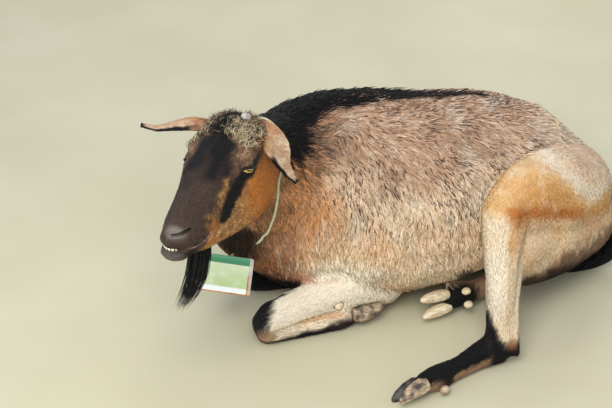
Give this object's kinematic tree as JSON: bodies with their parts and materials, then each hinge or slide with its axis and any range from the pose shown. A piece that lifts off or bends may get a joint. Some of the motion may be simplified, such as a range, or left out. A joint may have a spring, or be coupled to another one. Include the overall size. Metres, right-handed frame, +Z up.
{
  "type": "goat model",
  "caption": "Life-size still model of a brown and black domestic goat lying at rest with its head turned, a beard, horn stubs, and a card on a thin cord round its neck.",
  "frame": {"origin": "middle of the goat's box, on the floor it lies on", "axes": "+X from the chest towards the rump, -Y the goat's left side, +Z up"},
  "size_m": [0.8954, 0.5844, 0.4674],
  "materials": {
    "coat": "short hair, brown, cream and black",
    "beard_hair": "long black hair",
    "eye": "wet and clear",
    "horn": "rough grey horn",
    "hoof": "worn pale horn",
    "tooth": "enamel",
    "cord": "thin yellow-green cord",
    "card": "laminated card with bands of green"
  },
  "bodies": {
    "root": {"head": "coat", "neck": "coat", "trunk": "coat", "tail": "coat", "foreleg_left": "coat", "foreleg_right": "coat", "hind_leg_left": "coat", "hind_leg_right": "coat", "ear_left": "coat", "ear_right": "coat", "beard": "beard_hair", "eye_left": "eye", "eye_right": "eye", "horn_left": "horn", "horn_right": "horn", "lower_teeth": "tooth", "neck_cord": "cord", "name_card": "card", "hoof_fore_left_a": "hoof", "hoof_fore_left_b": "hoof", "dew_claw_fore_left_b": "hoof", "hoof_fore_right_a": "hoof", "dew_claw_fore_right_a": "hoof", "hoof_fore_right_b": "hoof", "dew_claw_fore_right_b": "hoof", "hoof_hind_left_a": "hoof", "dew_claw_hind_left_a": "hoof", "hoof_hind_left_b": "hoof", "dew_claw_hind_left_b": "hoof", "hoof_hind_right_a": "hoof", "dew_claw_hind_right_a": "hoof", "hoof_hind_right_b": "hoof", "dew_claw_hind_right_b": "hoof"}
  },
  "joints": []
}
